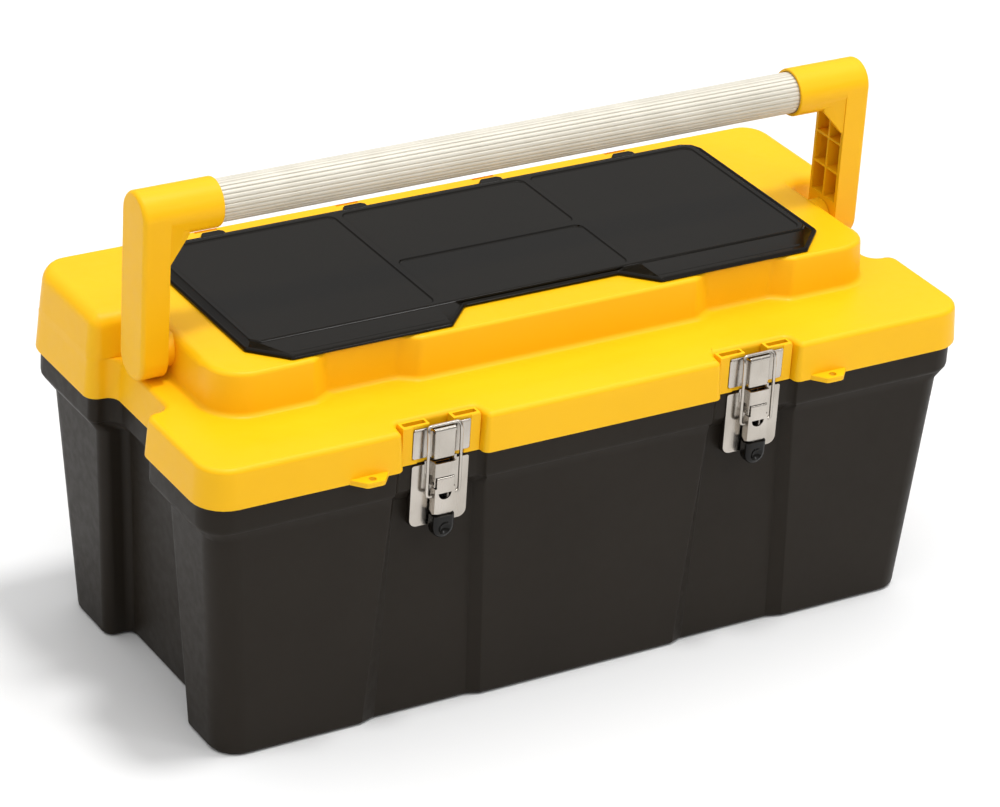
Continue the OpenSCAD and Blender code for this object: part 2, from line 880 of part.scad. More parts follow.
// A round wire along a path, as one closed sweep
module wire(path, r, sides = 12) {
    n = len(path);
    up = [0, -1, 0.3];
    rings = [for (i = [0 : n - 1])
        let (t = unit(path[min(i + 1, n - 1)] - path[max(i - 1, 0)]))
        let (u = unit(cross(t, up)))
        let (v = cross(t, u))
        for (k = [0 : sides - 1])
            let (angle = 360 * k / sides)
            path[i] + r * (cos(angle) * u + sin(angle) * v)];
    walls = [for (i = [0 : n - 2], k = [0 : sides - 1])
        let (a = i * sides)
        let (next = (k + 1) % sides)
        each [[a + k, a + sides + next, a + next], [a + k, a + sides + k, a + sides + next]]];
    ends = [for (k = [1 : sides - 2])
        each [[0, k, k + 1], [(n - 1) * sides, (n - 1) * sides + k + 1, (n - 1) * sides + k]]];
    polyhedron(rings, concat(walls, ends), convexity = 4);
}

// Bail: one bent wire that reaches from the lever's sides over the keeper's tongue
module latch_bail(side) {
    y = bail_pivot[0];
    z = bail_pivot[1];
    half = [[lever_half - sheet - 0.2, y, z], [leg_half - 1.6, y, z],
            [leg_half - 0.3, y, z + 0.4], [leg_half, y, z + 1.8],
            [leg_half, -5.4, bail_top - 8], [leg_half, -4.6, bail_top - 3.4],
            [leg_half - 0.5, -3.6, bail_top - 0.9], [leg_half - 2, -3.2, bail_top]];
    n = len(half);
    path = concat(half, [for (i = [n - 1 : -1 : 0]) [-half[i][0], half[i][1], half[i][2]]]);
    color(steel)
    at_latch(side)
        wire(path, wire_d / 2);
}

// Keeper on the lid: two flanks and a raised tongue between them
module latch_keeper(side) {
    half = latch_width / 2;
    low = 4;
    top = boss_top - split_height - 3.5;
    tongue_top = bail_top - wire_d / 2 - 0.4;
    front = -6.3;
    color(steel)
    at_latch(side)
    union() {
        for (s = [-1, 1])
            on_side(s) {
                box([tongue_half - sheet, -sheet, low], [half, -eps, top]);
                box([tongue_half - sheet, front, low], [tongue_half, 0 - eps, top]);
            }
        box([-tongue_half, front, low], [tongue_half, front + sheet, tongue_top - 1.6]);
        box([-tongue_half, front + 1.6, tongue_top - sheet],
            [tongue_half, -0.4, tongue_top]);
        x_cylinder(-tongue_half, tongue_half, front + 1.6, tongue_top - 1.6, 1.6);
    }
}

tub();
lid();
padlock_eye(-1);  // padlock_eye_left
padlock_eye(1);  // padlock_eye_right
organiser_bin();
hinge_pin(hinge_places[0]);  // hinge_pin_left
hinge_pin(hinge_places[1]);  // hinge_pin_right
organiser_cover();
cover_pins();
handle_arm(-1);  // handle_arm_left
handle_arm(1);  // handle_arm_right
handle_clip(-1);  // handle_clip_left
handle_clip(1);  // handle_clip_right
grip_tube();
tray();
tray_grip();
tray_divider(-1);  // tray_divider_left
tray_divider(1);  // tray_divider_right
latch_base(-1);  // latch_base_left
latch_base(1);  // latch_base_right
latch_rivets(-1);  // latch_rivets_left
latch_rivets(1);  // latch_rivets_right
latch_pin(-1);  // latch_pin_left
latch_pin(1);  // latch_pin_right
latch_lever(-1);  // latch_lever_left
latch_lever(1);  // latch_lever_right
lever_tip(-1);  // lever_tip_left
lever_tip(1);  // lever_tip_right
latch_bail(-1);  // latch_bail_left
latch_bail(1);  // latch_bail_right
latch_keeper(-1);  // latch_keeper_left
latch_keeper(1);  // latch_keeper_right
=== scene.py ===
import math

import bmesh
import bpy
from mathutils import Matrix, Vector


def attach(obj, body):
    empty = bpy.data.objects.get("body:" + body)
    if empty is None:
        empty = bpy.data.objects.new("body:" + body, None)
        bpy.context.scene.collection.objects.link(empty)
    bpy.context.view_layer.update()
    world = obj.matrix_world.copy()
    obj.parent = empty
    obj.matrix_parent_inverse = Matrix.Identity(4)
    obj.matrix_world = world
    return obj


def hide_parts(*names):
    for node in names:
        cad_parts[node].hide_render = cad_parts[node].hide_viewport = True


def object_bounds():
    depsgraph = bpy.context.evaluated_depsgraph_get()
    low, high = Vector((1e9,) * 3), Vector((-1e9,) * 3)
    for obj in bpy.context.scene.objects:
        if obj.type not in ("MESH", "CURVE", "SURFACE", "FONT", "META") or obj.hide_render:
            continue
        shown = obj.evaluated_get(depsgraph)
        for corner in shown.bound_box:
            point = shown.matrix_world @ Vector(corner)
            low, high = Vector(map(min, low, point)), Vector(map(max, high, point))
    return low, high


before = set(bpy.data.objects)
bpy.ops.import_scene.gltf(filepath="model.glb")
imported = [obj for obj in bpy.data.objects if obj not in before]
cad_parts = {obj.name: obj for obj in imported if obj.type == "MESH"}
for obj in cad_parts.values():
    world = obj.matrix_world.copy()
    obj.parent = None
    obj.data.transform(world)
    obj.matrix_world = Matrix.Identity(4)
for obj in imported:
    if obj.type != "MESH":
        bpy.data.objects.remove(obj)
CAD_LOW, CAD_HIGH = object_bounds()
MM = 0.001
STEPS = 7  # points on a rounded corner, less one
SMOOTH = 25.0  # edges that turn by more than these degrees are rounded

# Heights and places in millimetres, in the frame's own axes
SPLIT = 200.5
SHELF = 230.0
TOP = 262.0
HALF_DEPTH = 140.5
HALF_LENGTH = 305.0
WALL = 2.8
DRAFT = 1.8
SEAT_Y = -132.8
LATCH_X = 126.0
CHANNEL_BACK = -125.5
TIER_X = 264.0
TIER_FRONT = -77.0
PIVOT_Y, PIVOT_Z = 3.5, 248.0
TUBE_Z = 351.5
TUBE_R = 15.0
ARM_IN, ARM_OUT, ARM_HALF = 270.5, 290.5, 17.5
SOCKET_IN = 230.5
HINGE_Y, HINGE_Z = 145.1, 195.0
HINGE_PLACES = (-170.0, 170.0)
COVER_BASE, COVER_TOP = 262.3, 267.5
COVER_AXIS = (122.0, 260.0)
TAB_PLACES = (-170.0, -56.5, 56.5, 170.0)
TRAY_BASE, TRAY_TOP = 140.3, 195.3
TRAY_HALF, TRAY_FRONT, TRAY_REAR = 264.0, -114.0, 112.0
PADLOCK_X, PADLOCK_Y = 184.5, -145.1
RIVETS = (-42, -33)  # heights of a latch's rivets, from the split

# Camera: yaw, pitch and roll in degrees, place in metres, and focal length
CAMERA_TURNS = (32.11, 27.68, 3.72)
CAMERA_PLACE = (-1.42129, -2.26799, 1.55489)
CAMERA_LENS = 152.57

# Surroundings: the brightness rises from SKY_LOW to SKY_HIGH between two heights of view
SKY_LOW, SKY_HIGH, SKY_FROM, SKY_TO = 0.24, 1.6, 0.28, 0.95
KEY_POWER, KEY_WIDTH, KEY_WAY = 1.4, 10, (-0.18, 0.09, -1)
FILL_PLACE, FILL_AIM, FILL_SIZE, FILL_POWER = (1.1, -1.9, 1.7), (0, 0, 0.15), (0.4, 0.3), 5.5
FLOOR_HALF, FLOOR_GAP = 14, 0.0004

PAINTED_SHADE = (0.05, 0.040, 0.032, 1)  # painted shade mixed into the corners and hollows of the metal


# ------------------------------------------------------------ materials
def new_material(name):
    """An empty node material with its shader and output joined."""
    material = bpy.data.materials.new(name)
    material.use_nodes = True
    nodes = material.node_tree.nodes
    nodes.clear()
    shader = nodes.new("ShaderNodeBsdfPrincipled")
    output = nodes.new("ShaderNodeOutputMaterial")
    material.node_tree.links.new(shader.outputs["BSDF"], output.inputs["Surface"])
    return material, shader


def noise(tree, scale, detail, stretch=(1, 1, 1)):
    """Noise over the object's own coordinates, in metres. Stretch squeezes it along the axes."""
    place = tree.nodes.new("ShaderNodeTexCoord")
    mapping = tree.nodes.new("ShaderNodeMapping")
    mapping.inputs["Scale"].default_value = stretch
    texture = tree.nodes.new("ShaderNodeTexNoise")
    texture.inputs["Scale"].default_value = scale
    texture.inputs["Detail"].default_value = detail
    tree.links.new(place.outputs["Object"], mapping.inputs["Vector"])
    tree.links.new(mapping.outputs["Vector"], texture.inputs["Vector"])
    return texture.outputs["Fac"]


def spread(tree, value, low, high, start=0.35, end=0.65):
    """The value from start to end becomes a number from low to high."""
    node = tree.nodes.new("ShaderNodeMapRange")
    for name, number in (("From Min", start), ("From Max", end), ("To Min", low), ("To Max", high)):
        node.inputs[name].default_value = number
    tree.links.new(value, node.inputs["Value"])
    return node.outputs["Result"]


def mixed_colour(tree, factor, dark, light):
    """From dark to light as the factor goes from 0 to 1."""
    node = tree.nodes.new("ShaderNodeMix")
    node.data_type = "RGBA"
    node.inputs["A"].default_value = (*dark, 1)
    node.inputs["B"].default_value = (*light, 1)
    tree.links.new(factor, node.inputs["Factor"])
    return node.outputs["Result"]


def summed(tree, a, b, share):
    """a plus share times b."""
    node = tree.nodes.new("ShaderNodeMath")
    node.operation = "MULTIPLY_ADD"
    tree.links.new(b, node.inputs[0])
    node.inputs[1].default_value = share
    tree.links.new(a, node.inputs[2])
    return node.outputs["Value"]


def bumped(tree, shader, height, distance, strength):
    """Gives the shader a relief of the distance in metres."""
    node = tree.nodes.new("ShaderNodeBump")
    node.inputs["Strength"].default_value = strength
    node.inputs["Distance"].default_value = distance
    tree.links.new(height, node.inputs["Height"])
    tree.links.new(node.outputs["Normal"], shader.inputs["Normal"])


def plastic(name, dark, light, roughness, grain, level, wear=0.04):
    """Moulded plastic: slow drift in its colour, a fine spark-eroded grain and light scuffs."""
    material, shader = new_material(name)
    tree = material.node_tree
    drift = noise(tree, 9.0, 3.0)
    colour = mixed_colour(tree, spread(tree, drift, 0.0, 1.0), dark, light)
    tree.links.new(colour, shader.inputs["Base Color"])
    scuffs = noise(tree, 140.0, 4.0)
    rough = spread(tree, scuffs, roughness - wear, roughness + wear)
    tree.links.new(rough, shader.inputs["Roughness"])
    shader.inputs["Specular IOR Level"].default_value = level
    fine = noise(tree, 1500.0, 2.0)
    waves = noise(tree, 26.0, 1.0)
    bumped(tree, shader, summed(tree, fine, waves, 0.4), grain, 0.7)
    return material


def shaded_hollows(tree, colour, reach):
    """The colour, darkened where the surface is shut in within reach: painted shade in the hollows."""
    shade = tree.nodes.new("ShaderNodeAmbientOcclusion")
    shade.samples = 8
    shade.inputs["Distance"].default_value = reach
    node = tree.nodes.new("ShaderNodeMix")
    node.data_type = "RGBA"
    node.inputs["A"].default_value = PAINTED_SHADE
    tree.links.new(spread(tree, shade.outputs["AO"], 0.0, 1.0, 0.35, 0.9), node.inputs["Factor"])
    tree.links.new(colour, node.inputs["B"])
    return node.outputs["Result"]


def metal(name, dark, light, roughness, brushing, metallic=1.0, hollow_shade=0.0):
    """Metal with fine marks drawn along one axis, a slow drift in colour and polish, and painted shade
    in its hollows when given a reach.
    """
    material, shader = new_material(name)
    tree = material.node_tree
    drift = noise(tree, 30.0, 3.0)
    colour = mixed_colour(tree, spread(tree, drift, 0.0, 1.0), dark, light)
    # painted shade: darkens the colour where ambient occlusion finds hollows
    if hollow_shade:
        colour = shaded_hollows(tree, colour, hollow_shade)
    tree.links.new(colour, shader.inputs["Base Color"])
    shader.inputs["Metallic"].default_value = metallic
    marks = noise(tree, 420.0, 3.0, brushing)
    polish = summed(tree, marks, drift, 0.4)
    rough = spread(tree, polish, roughness - 0.06, roughness + 0.12, 0.4, 1.0)
    tree.links.new(rough, shader.inputs["Roughness"])
    bumped(tree, shader, marks, 0.00003, 0.5)
    return material


YELLOW = plastic("yellow_plastic", (0.93, 0.500, 0.003), (0.96, 0.525, 0.005), 0.42, 0.00005, 0.22)
BLACK = plastic("black_plastic", (0.0195, 0.0152, 0.0110), (0.0220, 0.0174, 0.0128), 0.45, 0.00006, 0.11)
COVER_BLACK = plastic("cover_plastic", (0.0046, 0.0033, 0.0016), (0.0054, 0.0040, 0.0021), 0.14,
                      0.00001, 0.15, 0.02)
ALUMINIUM = metal("anodised_aluminium", (0.62, 0.585, 0.50), (0.68, 0.645, 0.56), 0.50, (0.03, 1, 1),
                  0.35)
# the nickel's last number is the reach of the painted shade in its hollows
NICKEL = metal("nickel_plate", (0.42, 0.385, 0.34), (0.53, 0.49, 0.44), 0.20, (1, 1, 0.05), 1.0, 0.004)
PIN_STEEL = metal("pin_steel", (0.46, 0.45, 0.43), (0.56, 0.55, 0.53), 0.34, (0.05, 1, 1))
RUBBER = plastic("grip_plastic", (0.0045, 0.0038, 0.0030), (0.006, 0.0052, 0.0042), 0.20, 0.00003, 0.22)


# ------------------------------------------------------------ meshes, in millimetres
def cos_sin(degrees):
    """Cosine and sine of an angle in degrees."""
    return math.cos(math.radians(degrees)), math.sin(math.radians(degrees))


def mesh_from(bm, name):
    """A mesh datablock of the built mesh."""
    mesh = bpy.data.meshes.new(name)
    bm.to_mesh(mesh)
    return mesh


def new_object(name, data):
    """An object of the scene that shows the data."""
    obj = bpy.data.objects.new(name, data)
    bpy.context.scene.collection.objects.link(obj)
    return obj


def faced_out(bm):
    """The mesh with all its faces turned outwards."""
    bmesh.ops.recalc_face_normals(bm, faces=bm.faces)
    return bm


def softened(bm, radius, segments=2):
    """Rounds every edge sharper than SMOOTH."""
    if radius > 0:
        limit = math.radians(SMOOTH)
        edges = [e for e in bm.edges if len(e.link_faces) == 2 and e.calc_face_angle(0) > limit]
        bmesh.ops.bevel(bm, geom=edges, offset=radius, offset_type="OFFSET", segments=segments,
                        profile=0.5, affect="EDGES", clamp_overlap=True)
    return bm


def box(low, high, radius, segments=2):
    """A block with rounded edges."""
    bm = bmesh.new()
    low, high = Vector(low), Vector(high)
    size = high - low
    bmesh.ops.create_cube(bm, size=1.0)
    bmesh.ops.transform(bm, matrix=Matrix.Diagonal((*size, 1)), verts=bm.verts)
    bmesh.ops.translate(bm, vec=(low + high) / 2, verts=bm.verts)
    return softened(bm, radius, segments)


AXIS_TURNS = {"x": Matrix(((0, 0, 1), (1, 0, 0), (0, 1, 0))).to_4x4(),
              "y": Matrix(((1, 0, 0), (0, 0, -1), (0, 1, 0))).to_4x4(),
              "z": Matrix.Identity(4)}


def walls(bm, low, high):
    """Faces between two rings of matching points."""
    n = len(low)
    for i in range(n):
        k = (i + 1) % n
        bm.faces.new((low[i], low[k], high[k], high[i]))


def prism(points, axis, start, end, radius):
    """An outline carried along an axis. Along x the outline holds (y, z), along y it holds
    (x, z) and start and end count towards the front, and along z it holds (x, y)."""
    bm = bmesh.new()
    low = [bm.verts.new((p[0], p[1], start)) for p in points]
    high = [bm.verts.new((p[0], p[1], end)) for p in points]
    bm.faces.new(list(reversed(low)))
    bm.faces.new(high)
    walls(bm, low, high)
    bmesh.ops.transform(bm, matrix=AXIS_TURNS[axis], verts=bm.verts)
    return softened(faced_out(bm), radius)


def circle(x, y, radius, count, start=0.0, extent=360.0):
    """Points on a circle, or on an arc of it."""
    turns = count if extent >= 360.0 else count - 1
    ways = [cos_sin(start + extent * i / turns) for i in range(count)]
    return [(x + radius * a, y + radius * b) for a, b in ways]


def rounded_rectangle(x0, x1, y0, y1, radius, count):
    """Points round a rectangle, with count of them on each rounded corner."""
    points = []
    for x, y, start in ((x1 - radius, y0 + radius, 270), (x1 - radius, y1 - radius, 0),
                        (x0 + radius, y1 - radius, 90), (x0 + radius, y0 + radius, 180)):
        points += circle(x, y, radius, count, start, 90)
    return points


def turned(profile, axis, centre, sides):
    """A form turned on an axis through the centre: the profile holds (along, radius)."""
    bm = loft([[(x, y, along) for x, y in circle(0, 0, radius, sides)] for along, radius in profile])
    bmesh.ops.transform(bm, matrix=Matrix.Translation(centre) @ AXIS_TURNS[axis], verts=bm.verts)
    return faced_out(bm)


def pin(axis, centre, start, end, radius, edge, sides=32):
    """A short cylinder with rounded rims."""
    rim = [(edge * (1 - a), edge * (1 - b)) for a, b in (cos_sin(0), cos_sin(45), cos_sin(90))]
    profile = [(start + a, radius - b) for a, b in rim]
    profile += [(end - a, radius - b) for a, b in reversed(rim)]
    return turned(profile, axis, centre, sides)


def loft(rings):
    """A closed skin through rings of matching points, capped at both ends."""
    bm = bmesh.new()
    levels = [[bm.verts.new(p) for p in points] for points in rings]
    for low, high in zip(levels, levels[1:]):
        walls(bm, low, high)
    bm.faces.new(list(reversed(levels[0])))
    bm.faces.new(levels[-1])
    return bm


def sweep(path, radius):
    """A round wire along a path of points."""
    sides = 16
    points = [Vector(p) for p in path]
    rings = []
    for i, here in enumerate(points):
        along = (points[min(i + 1, len(points) - 1)] - points[max(i - 1, 0)]).normalized()
        side = along.cross(Vector((0, -1, 0.3))).normalized()
        other = along.cross(side)
        rings.append([here + radius * (math.cos(t) * side + math.sin(t) * other)
                      for t in (2 * math.pi * k / sides for k in range(sides))])
    return faced_out(loft(rings))


def together(*parts):
    """Several meshes as one, still as separate shells."""
    whole = bmesh.new()
    for part in parts:
        mesh = mesh_from(part, "part")
        whole.from_mesh(mesh)
        bpy.data.meshes.remove(mesh)
    return whole


def mirrored(bm):
    """A copy on the other side of the middle plane."""
    copy = bm.copy()
    bmesh.ops.scale(copy, vec=(-1, 1, 1), verts=copy.verts)
    bmesh.ops.reverse_faces(copy, faces=copy.faces)
    return copy


def both_sides(bm):
    """The mesh and its mirror image."""
    return together(bm, mirrored(bm))


def moved(bm, x, y, z):
    """The mesh, carried by x, y and z."""
    bmesh.ops.translate(bm, vec=(x, y, z), verts=bm.verts)
    return bm


def combined(base, tool, operation):
    """base with tool joined to it (UNION), cut away (DIFFERENCE) or kept in common (INTERSECT)."""
    objects = [new_object("operand", mesh_from(bm, "operand")) for bm in (base, tool)]
    modifier = objects[0].modifiers.new("combine", "BOOLEAN")
    modifier.operation = operation
    modifier.solver = "EXACT"
    modifier.use_self = True
    modifier.object = objects[1]
    graph = bpy.context.evaluated_depsgraph_get()
    result = bpy.data.meshes.new_from_object(objects[0].evaluated_get(graph))
    out = bmesh.new()
    out.from_mesh(result)
    for obj in objects:
        mesh = obj.data
        bpy.data.objects.remove(obj)
        bpy.data.meshes.remove(mesh)
    bpy.data.meshes.remove(result)
    bmesh.ops.dissolve_degenerate(out, dist=0.0005, edges=out.edges)
    return out


def piece(name, bm, material, body, replaces, sharp=32.0):
    """The finished object from a mesh in millimetres, on its body, in place of its CAD nodes."""
    bmesh.ops.scale(bm, vec=(MM, MM, MM), verts=bm.verts)
    mesh = mesh_from(bm, name)
    bm.free()
    mesh.materials.append(material)
    mesh.polygons.foreach_set("use_smooth", [True] * len(mesh.polygons))
    mesh.set_sharp_from_angle(angle=math.radians(sharp))
    obj = new_object(name, mesh)
    normals = obj.modifiers.new("even_normals", "WEIGHTED_NORMAL")
    normals.keep_sharp = True
    normals.weight = 60
    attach(obj, body)
    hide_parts(*replaces)
    return obj


def finish_node(name, material):
    """A CAD node that stays in view, with its material and softened edges."""
    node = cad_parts[name]
    node.data.materials.clear()
    node.data.materials.append(material)
    bevel = node.modifiers.new("soft_edges", "BEVEL")
    bevel.width = 0.25 * MM
    bevel.segments = 2
    bevel.limit_method = "ANGLE"
    bevel.angle_limit = math.radians(40)


# ------------------------------------------------------------ outlines of the box
# An outline is its right half, from front to rear. A corner of it is (x, y, radius, step_x,
# step_y, bend): it moves by its steps when the outline shrinks by one, and bend is 1 at an
# outer corner and -1 at an inner one. A negative radius marks a place on a straight side.
def arc_points(a, b, c, radius):
    """Points on the rounded corner b, between its neighbours a and c."""
    u, w = (a - b).normalized(), (c - b).normalized()
    half = math.acos(max(-1.0, min(1.0, u.dot(w)))) / 2
    centre = b + (u + w).normalized() * radius / math.sin(half)
    start = b + u * radius / math.tan(half) - centre
    finish = b + w * radius / math.tan(half) - centre
    turn = math.atan2(start.x * finish.y - start.y * finish.x, start.dot(finish))
    return [centre + Matrix.Rotation(turn * i / STEPS, 2) @ start for i in range(STEPS + 1)]


def ring(half):
    """Closed ring of points from a right half of corners (x, y, radius, z)."""
    corners = half + [(-x, y, r, z) for x, y, r, z in reversed(half)]
    flat = [Vector(c[:2]) for c in corners]
    points = []
    for i, (x, y, radius, z) in enumerate(corners):
        if radius > 0:
            found = arc_points(flat[i - 1], flat[i], flat[(i + 1) % len(flat)], radius)
        else:
            found = [flat[i] - Vector((0, math.copysign(1, x) * radius * (k / STEPS - 0.5)))
                     for k in range(STEPS + 1)]
        points += [(p.x, p.y, z) for p in found]
    return points


def shrunk_radius(corner, g):
    """The corner's radius once its outline has shrunk by g."""
    return corner[2] if corner[2] < 0 else max(corner[2] - corner[5] * g, 0.6)


def shrunk_corner(corner, gx, gy, z):
    """The corner as ring takes it, shrunk by gx across and by gy in depth."""
    return corner[0] + corner[3] * gx, corner[1] + corner[4] * gy, shrunk_radius(corner, gx), z


def shrunk(half, g, z):
    """Closed ring of the outline at height z, shrunk by g."""
    return ring([shrunk_corner(c, g, g, z) for c in half])


def tub_outline(z):
    """The drafted wall of the tub at a height."""
    x = 281.5 + 0.077 * z
    front = -HALF_DEPTH + 12.7 - 0.0345 * z
    back = -HALF_DEPTH + 16.2 - 0.008 * z
    return [(79.6 + 0.062 * z, front, 3, -1, 1, 1),
            (LATCH_X - 37 + 0.035 * z, back, 2, -1, 1, -1),
            (LATCH_X + 36 - 0.03 * z, back, 2, 1, 1, -1),
            (LATCH_X + 47.6 - 0.068 * z, front, 3, 1, 1, 1),
            (x, front, 20, -1, 1, 1),
            (x, -72 + 0.05 * z, 8, -1, -1, 1),
            (x - 20, -72 + 0.05 * z, 6, -1, -1, -1),
            (x - 20, 50 - 0.07 * z, 6, -1, 1, -1),
            (x, 50 - 0.07 * z, 8, -1, 1, 1),
            (x, HALF_DEPTH - 28 + 0.077 * z, 20, -1, -1, 1)]


def skirt_outline(channel_y):
    """The lid's skirt, with its latch channels cut in to channel_y."""
    return [(LATCH_X - 31, -HALF_DEPTH, 5, -1, 1, 1), (LATCH_X - 29, channel_y, 3, -1, 1, -1),
            (LATCH_X + 29.5, channel_y, 3, 1, 1, -1), (LATCH_X + 31.5, -HALF_DEPTH, 5, 1, 1, 1),
            (HALF_LENGTH, -HALF_DEPTH, 24, -1, 1, 1), (HALF_LENGTH, -42, 10, -1, -1, 1),
            (HALF_LENGTH - 19, -42, 8, -1, -1, -1), (HALF_LENGTH - 19, 36, 8, -1, 1, -1),
            (HALF_LENGTH, 36, 10, -1, 1, 1), (HALF_LENGTH, HALF_DEPTH, 24, -1, -1, 1)]


TIER = [(112, TIER_FRONT, 9, -1, 1, 1), (126, TIER_FRONT + 9, 9, -1, 1, -1),
        (178, TIER_FRONT + 9, 9, 1, 1, -1), (192, TIER_FRONT, 9, 1, 1, 1),
        (TIER_X, TIER_FRONT, 27, -1, 1, 1), (TIER_X, -36, -8, -1, 0, 1),
        (TIER_X, -24, -8, -1, 0, 1), (TIER_X, 36, 8, -1, 1, -1),
        (HALF_LENGTH - DRAFT, 36 + DRAFT, 10, -1, 1, 1),
        (HALF_LENGTH - DRAFT, HALF_DEPTH - DRAFT, 24, -1, -1, 1)]
FIRST_REAR = 8  # from this corner on, skirt and tier stand in one wall
# The rounding of the lid's top edge at each corner of TIER: across, in depth and in height
EDGE_X = (3, 3, 3, 3, 7, 7, 7, 8, 11, 11)
EDGE_Y = (3, 3, 3, 3, 3, 0, 0, 11, 11, 5.5)
EDGE_Z = (3, 3, 3, 3, 4, 7, 7, 8, 11, 11)


def stepped_ring(outline, g, extra, z, z_rear):
    """The outline shrunk by g, and by extra as well ahead of the rear corners."""
    half = []
    for i, corner in enumerate(outline):
        gx = g + extra if i < FIRST_REAR else g
        gy = g + extra if i < FIRST_REAR - 1 else g
        at_rear = i >= FIRST_REAR and z_rear is not None
        half.append(shrunk_corner(corner, gx, gy, z_rear if at_rear else z))
    return ring(half)


def skirt_ring(g, shelf, z, z_rear=None):
    """The skirt shrunk by g, and by shelf as well where the shelf's edge is rounded."""
    return stepped_ring(skirt_outline(CHANNEL_BACK), g, shelf, z, z_rear)


def tier_ring(g, foot, z, z_rear=None):
    """The tier's wall shrunk by g, and spread at its foot by foot."""
    return stepped_ring(TIER, g, -foot, z, z_rear)


def top_edge_ring(g, angle, z):
    """The lid's rounded top edge at an angle from 0 (wall) to 90 degrees (top)."""
    across, up = cos_sin(angle)
    inward, down = 1 - across, 1 - up
    return ring([shrunk_corner(corner, g + ex * inward, g + ey * inward, z - ez * down)
                 for corner, ex, ey, ez in zip(TIER, EDGE_X, EDGE_Y, EDGE_Z)])


# ------------------------------------------------------------ tub
def tub_shell():
    """The tub's walls: up the outside, over the rim and down the inside to the floor."""
    band = SPLIT - 0.3
    foot = band - 28
    rim = SPLIT + 5.5
    rings = [shrunk(tub_outline(0), 3, 0)]
    for angle in (25, 50, 75, 90):
        across, up = cos_sin(angle)
        rise = 3 * (1 - across)
        rings.append(shrunk(tub_outline(rise), 3 * (1 - up), rise))
    rings.append(shrunk(tub_outline(foot), 0, foot))
    seat = skirt_outline(SEAT_Y - 3.5)
    for g, z in ((5.2, foot + 7.2), (4.4, foot + 8.3), (3.8, foot + 9.4), (3.5, foot + 11),
                 (3.5, band - 0.8), (3.8, band)):
        rings.append(shrunk(seat, g, z))
    inner = skirt_outline(CHANNEL_BACK)
    for g, z in ((3.9, band), (3.6, band + 0.3), (3.6, rim - 0.8), (3.9, rim - 0.2), (4.6, rim),
                 (5.6, rim), (6.3, rim - 0.2), (6.5, rim - 0.8), (6.5, band - 16)):
        rings.append(shrunk(inner, g, z))
    rings.append(shrunk(tub_outline(foot), WALL, foot))
    rings.append(shrunk(tub_outline(7), WALL, 7))
    for g, z in ((3.4, 5), (4.8, 3.6), (6.8, 3.1)):
        rings.append(shrunk(tub_outline(4), g, z))
    rings.append(shrunk(tub_outline(4), 9, 3))
    return loft(rings)


def knuckle(x, wall_y, low, high):
    """A hinge knuckle at x, with the lug that joins it to the wall."""
    half, radius = 10, 5
    barrel = pin("x", (x, HINGE_Y, HINGE_Z), -half, half, radius, 0.6)
    lug = box((x - half, wall_y, low), (x + half, HINGE_Y, high), 0.6)
    return combined(barrel, lug, "UNION")


def make_tub():
    """The tub with its tray ledges, hinge knuckles and latch pads, bored for pins and rivets."""
    ledge = box((TRAY_HALF - 5, -48, TRAY_BASE - 6.3), (270.5, 30, TRAY_BASE - 0.3), 0.5)
    pad = box((LATCH_X - 20, SEAT_Y, SPLIT - 48), (LATCH_X + 20, -122.5, SPLIT - 24), 0.8)
    knuckles = [knuckle(x + shift, HALF_DEPTH - 5, HINGE_Z - 5, HINGE_Z + 5)
                for x in HINGE_PLACES for shift in (-20.3, 20.3)]
    body = combined(tub_shell(), together(both_sides(ledge), *knuckles, both_sides(pad)), "UNION")
    bores = [pin("x", (x, HINGE_Y, HINGE_Z), -50, 50, 1.78, 0) for x in HINGE_PLACES]
    for z in RIVETS:
        hole = pin("y", (LATCH_X, SEAT_Y + 5, SPLIT + z), 0, 6, 1.62, 0, 16)
        bores.append(both_sides(hole))
    body = combined(body, together(*bores), "DIFFERENCE")
    piece("tub_body", body, BLACK, "tub", ["tub"])


# ------------------------------------------------------------ lid
def lid_shell():
    """The lid's skin: down the inside from under the top, round the lower edge and up again."""
    low, under, step = SPLIT, SHELF - WALL, SPLIT + 5.8
    lean = 1.5
    rings = [top_edge_ring(lean + 5, 90, TOP - 2.8), tier_ring(WALL + 4, 0, TOP - 6),
             tier_ring(WALL, 0, SHELF + 4), tier_ring(WALL, 0, under, under + 2),
             skirt_ring(WALL + DRAFT, 2, under, under - 1), skirt_ring(WALL + DRAFT, 0, under - 3),
             skirt_ring(WALL + 0.5, 0, step + 4), skirt_ring(6.7, 0, step + 2),
             skirt_ring(6.7, 0, step), skirt_ring(3.0, 0, step), skirt_ring(3.0, 0, low + 0.4),
             skirt_ring(2.6, 0, low), skirt_ring(0.9, 0, low), skirt_ring(0.3, 0, low + 0.25),
             skirt_ring(0, 0, low + 0.9)]
    edge = 4
    for angle in (0, 18, 36, 54, 72, 90):
        across, up = cos_sin(angle)
        rings.append(skirt_ring(DRAFT, edge * (1 - across), SHELF - edge + edge * up,
                                SHELF - edge + (edge - 1) * up))
    for angle in (0, 22, 45, 68, 90):
        across, up = cos_sin(angle)
        rise = 1 - across
        rings.append(tier_ring(0, edge * (1 - up), SHELF + edge * rise,
                               SHELF + 1 + (edge - 1) * rise))
    for angle in range(0, 91, 10):
        rings.append(top_edge_ring(lean, angle, TOP))
    return loft(rings)


